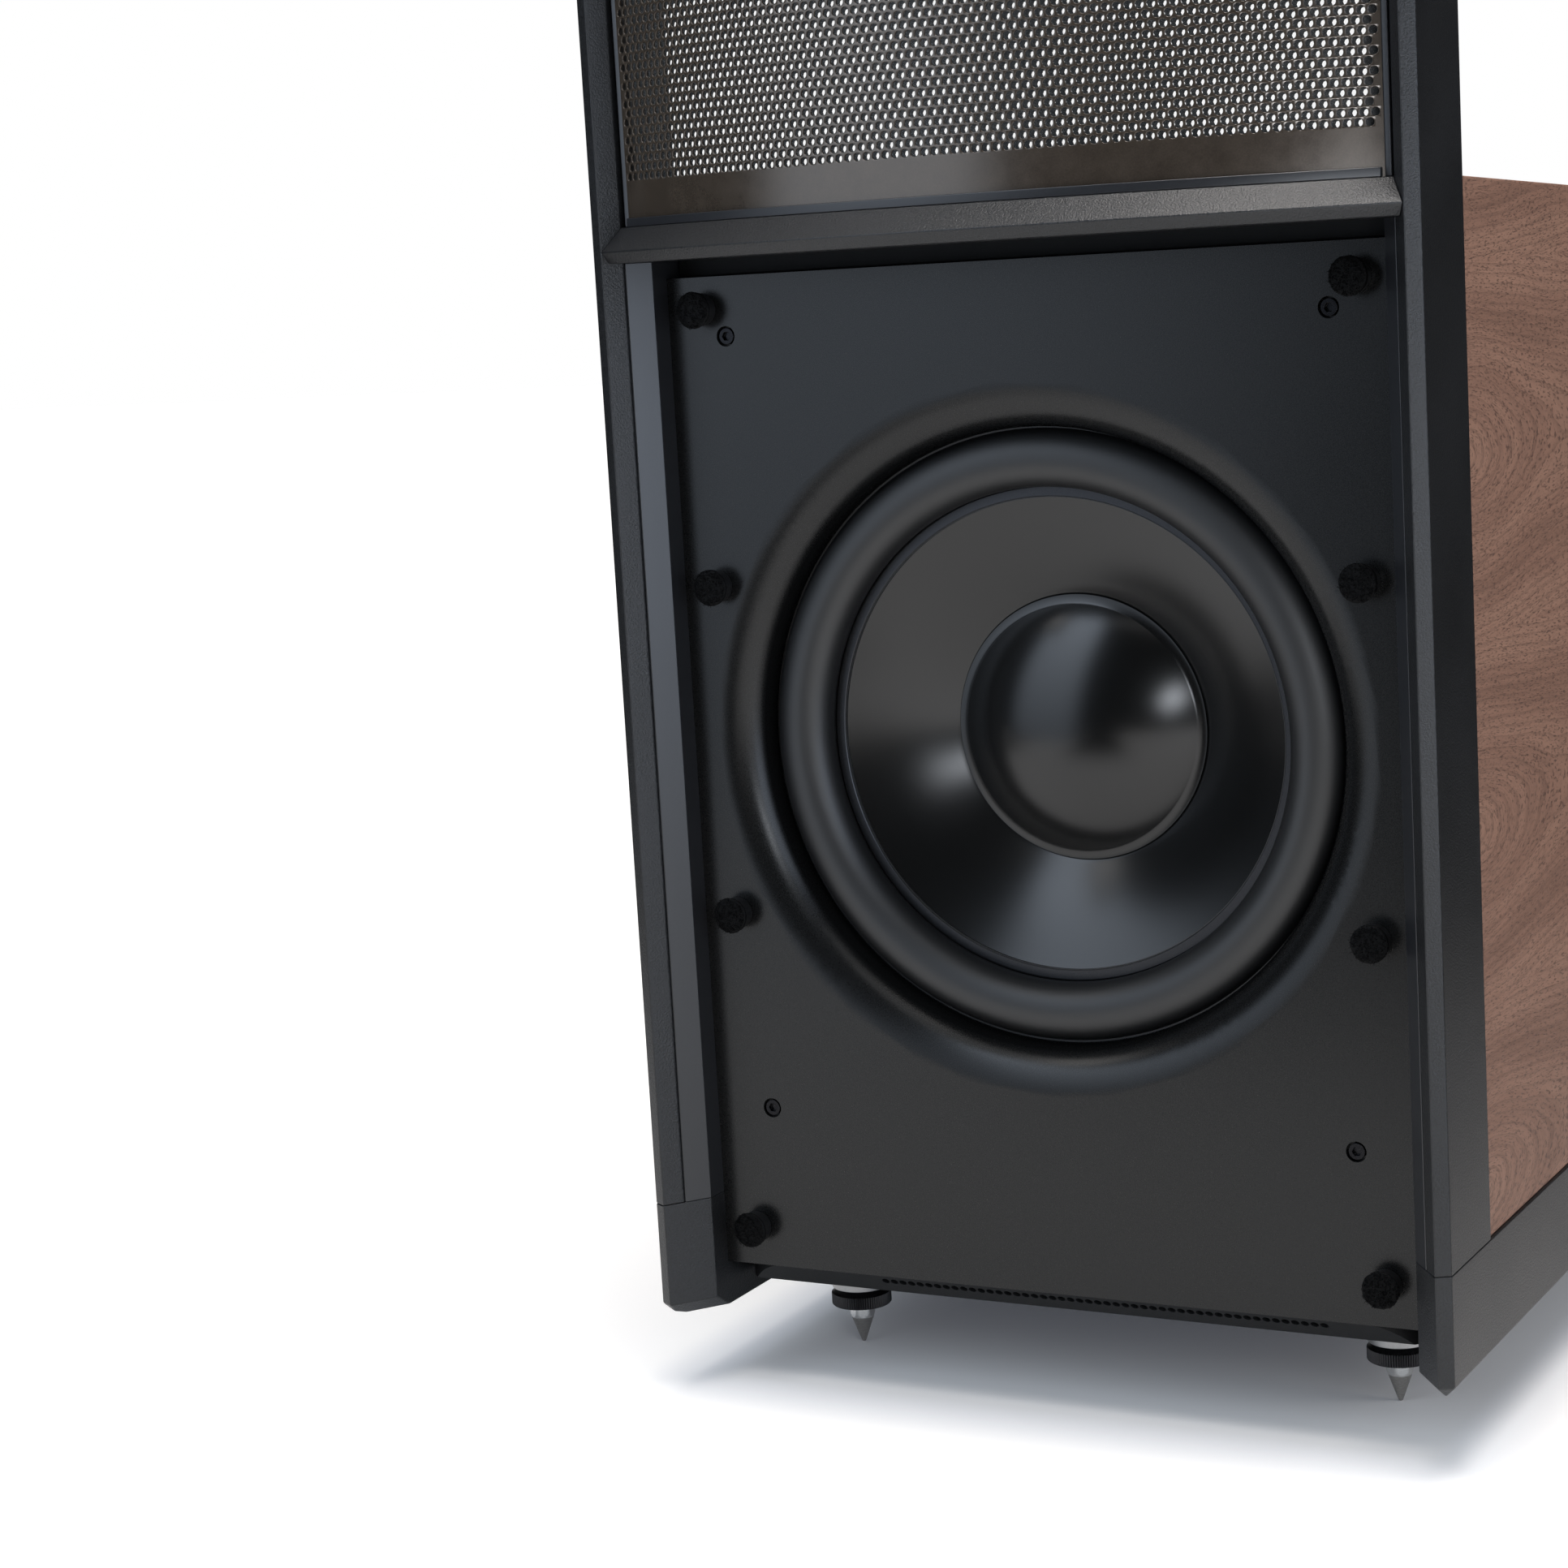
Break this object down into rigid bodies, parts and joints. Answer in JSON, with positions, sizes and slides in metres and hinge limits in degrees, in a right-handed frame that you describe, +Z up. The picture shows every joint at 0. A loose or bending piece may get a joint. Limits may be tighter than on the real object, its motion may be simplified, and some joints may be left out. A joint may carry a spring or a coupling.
{
  "type": "floor-standing loudspeaker",
  "caption": "Floor-standing hybrid loudspeaker: a tall curved perforated electrostatic panel in a slim black frame over a walnut-sided bass cabinet with cone woofers, on adjustable spikes.",
  "frame": {"origin": "on the floor under the middle of the outer box", "axes": "+Z up, the listener is at -Y, +X to the right as the listener sees it"},
  "size_m": [0.418, 0.711, 1.781],
  "materials": {
    "powder_coat": "fine sand-textured black powder coat on extruded and cast aluminium",
    "trim_black": "smooth satin black strip",
    "walnut": "satin walnut veneer, grain running front to back",
    "baffle_black": "satin black lacquer on board",
    "cabinet_black": "fine textured black paint on board",
    "stator": "dark bronze-grey coated perforated steel",
    "film": "clear conductive film",
    "clear_spacer": "clear plastic spacer",
    "seal": "smooth dark grey edge seal",
    "cone_metal": "black anodised aluminium, satin",
    "surround_rubber": "black butyl rubber",
    "spider_cloth": "treated corrugated cloth",
    "copper": "enamelled copper winding",
    "basket_metal": "cast aluminium, black textured paint",
    "ferrite": "ferrite ring",
    "motor_steel": "zinc-plated steel",
    "black_screw": "black oxide steel",
    "post_plastic": "moulded black plastic",
    "hook_pad": "black hook-and-loop disc",
    "amp_metal": "black anodised plate and fins",
    "board": "circuit board",
    "inlet_plastic": "moulded black plastic",
    "knob_plastic": "soft black plastic",
    "gold_contact": "gold-plated brass",
    "cap_black": "black plastic",
    "cap_red": "red plastic",
    "core_steel": "stacked steel laminations",
    "boss_metal": "machined aluminium",
    "spike_steel": "polished steel",
    "ring_black": "black knurled steel"
  },
  "bodies": {
    "cabinet": {"amp_heatsink": "amp_metal", "amp_plate": "amp_metal", "baffle_screws": "black_screw", "base_plate": "cabinet_black", "bay_trims": "trim_black", "binding_posts": "gold_contact", "cabinet_divider": "cabinet_black", "cabinet_top": "cabinet_black", "circuit_boards": "board", "cross_bar": "powder_coat", "diaphragm": "film", "front_baffle": "baffle_black", "front_basket": "basket_metal", "front_magnet": "ferrite", "front_motor_steel": "motor_steel", "front_spider": "spider_cloth", "front_stator": "stator", "front_surround": "surround_rubber", "front_woofer_screws": "black_screw", "grille_pads": "hook_pad", "grille_posts": "post_plastic", "mains_inlet": "inlet_plastic", "panel_retainers": "trim_black", "panel_seals": "seal", "panel_spacers": "clear_spacer", "plinth_left": "powder_coat", "plinth_right": "powder_coat", "rail_left": "powder_coat", "rail_right": "powder_coat", "rear_baffle": "cabinet_black", "rear_basket": "basket_metal", "rear_magnet": "ferrite", "rear_motor_steel": "motor_steel", "rear_spider": "spider_cloth", "rear_stator": "stator", "rear_surround": "surround_rubber", "rear_woofer_screws": "black_screw", "side_left": "walnut", "side_right": "walnut", "spike_bosses": "boss_metal", "top_bar": "powder_coat", "transformer_core": "core_steel", "transformer_winding": "copper"},
    "front_cone_assembly": {"front_cone": "cone_metal", "front_dust_cap": "cone_metal", "front_voice_coil": "copper"},
    "rear_cone_assembly": {"rear_cone": "cone_metal", "rear_dust_cap": "cone_metal", "rear_voice_coil": "copper"},
    "spike_front_left": {"spike_front_left": "spike_steel"},
    "spike_front_right": {"spike_front_right": "spike_steel"},
    "spike_rear_left": {"spike_rear_left": "spike_steel"},
    "spike_rear_right": {"spike_rear_right": "spike_steel"},
    "lock_ring_front_left": {"lock_ring_front_left": "ring_black"},
    "lock_ring_front_right": {"lock_ring_front_right": "ring_black"},
    "lock_ring_rear_left": {"lock_ring_rear_left": "ring_black"},
    "lock_ring_rear_right": {"lock_ring_rear_right": "ring_black"},
    "binding_cap_black": {"binding_cap_black": "cap_black"},
    "binding_cap_red": {"binding_cap_red": "cap_red"},
    "bass_knob": {"bass_knob": "knob_plastic"}
  },
  "joints": [
    {"name": "front_cone_travel", "type": "slide", "parent": "cabinet", "child": "front_cone_assembly", "axis": [0, -1, 0], "range_m": [-0.01, 0.01], "stiffness_N_per_m": 3500, "deforming": ["front_surround", "front_spider"]},
    {"name": "rear_cone_travel", "type": "slide", "parent": "cabinet", "child": "rear_cone_assembly", "axis": [0, 1, 0], "range_m": [-0.01, 0.01], "stiffness_N_per_m": 3500, "deforming": ["rear_surround", "rear_spider"]},
    {"name": "spike_front_left_screw", "type": "slide", "parent": "cabinet", "child": "spike_front_left", "axis": [0, 0, 1], "range_m": [-0.01, 0]},
    {"name": "spike_front_right_screw", "type": "slide", "parent": "cabinet", "child": "spike_front_right", "axis": [0, 0, 1], "range_m": [-0.01, 0]},
    {"name": "spike_rear_left_screw", "type": "slide", "parent": "cabinet", "child": "spike_rear_left", "axis": [0, 0, 1], "range_m": [-0.01, 0]},
    {"name": "spike_rear_right_screw", "type": "slide", "parent": "cabinet", "child": "spike_rear_right", "axis": [0, 0, 1], "range_m": [-0.01, 0]},
    {"name": "lock_ring_front_left_turn", "type": "hinge", "parent": "cabinet", "child": "lock_ring_front_left", "pos_m": [-0.1483, -0.19565, 0.031], "axis": [0, 0, 1], "continuous": true},
    {"name": "lock_ring_front_right_turn", "type": "hinge", "parent": "cabinet", "child": "lock_ring_front_right", "pos_m": [0.1483, -0.19565, 0.031], "axis": [0, 0, 1], "continuous": true},
    {"name": "lock_ring_rear_left_turn", "type": "hinge", "parent": "cabinet", "child": "lock_ring_rear_left", "pos_m": [-0.1483, 0.2625, 0.031], "axis": [0, 0, 1], "continuous": true},
    {"name": "lock_ring_rear_right_turn", "type": "hinge", "parent": "cabinet", "child": "lock_ring_rear_right", "pos_m": [0.1483, 0.2625, 0.031], "axis": [0, 0, 1], "continuous": true},
    {"name": "binding_cap_black_turn", "type": "hinge", "parent": "cabinet", "child": "binding_cap_black", "pos_m": [-0.1195, 0.3375, 0.118], "axis": [0, 1, 0], "continuous": true},
    {"name": "binding_cap_red_turn", "type": "hinge", "parent": "cabinet", "child": "binding_cap_red", "pos_m": [-0.1005, 0.3375, 0.118], "axis": [0, 1, 0], "continuous": true},
    {"name": "bass_knob_turn", "type": "hinge", "parent": "cabinet", "child": "bass_knob", "pos_m": [0.086, 0.3375, 0.14], "axis": [0, 1, 0], "range_deg": [-140, 140]}
  ]
}
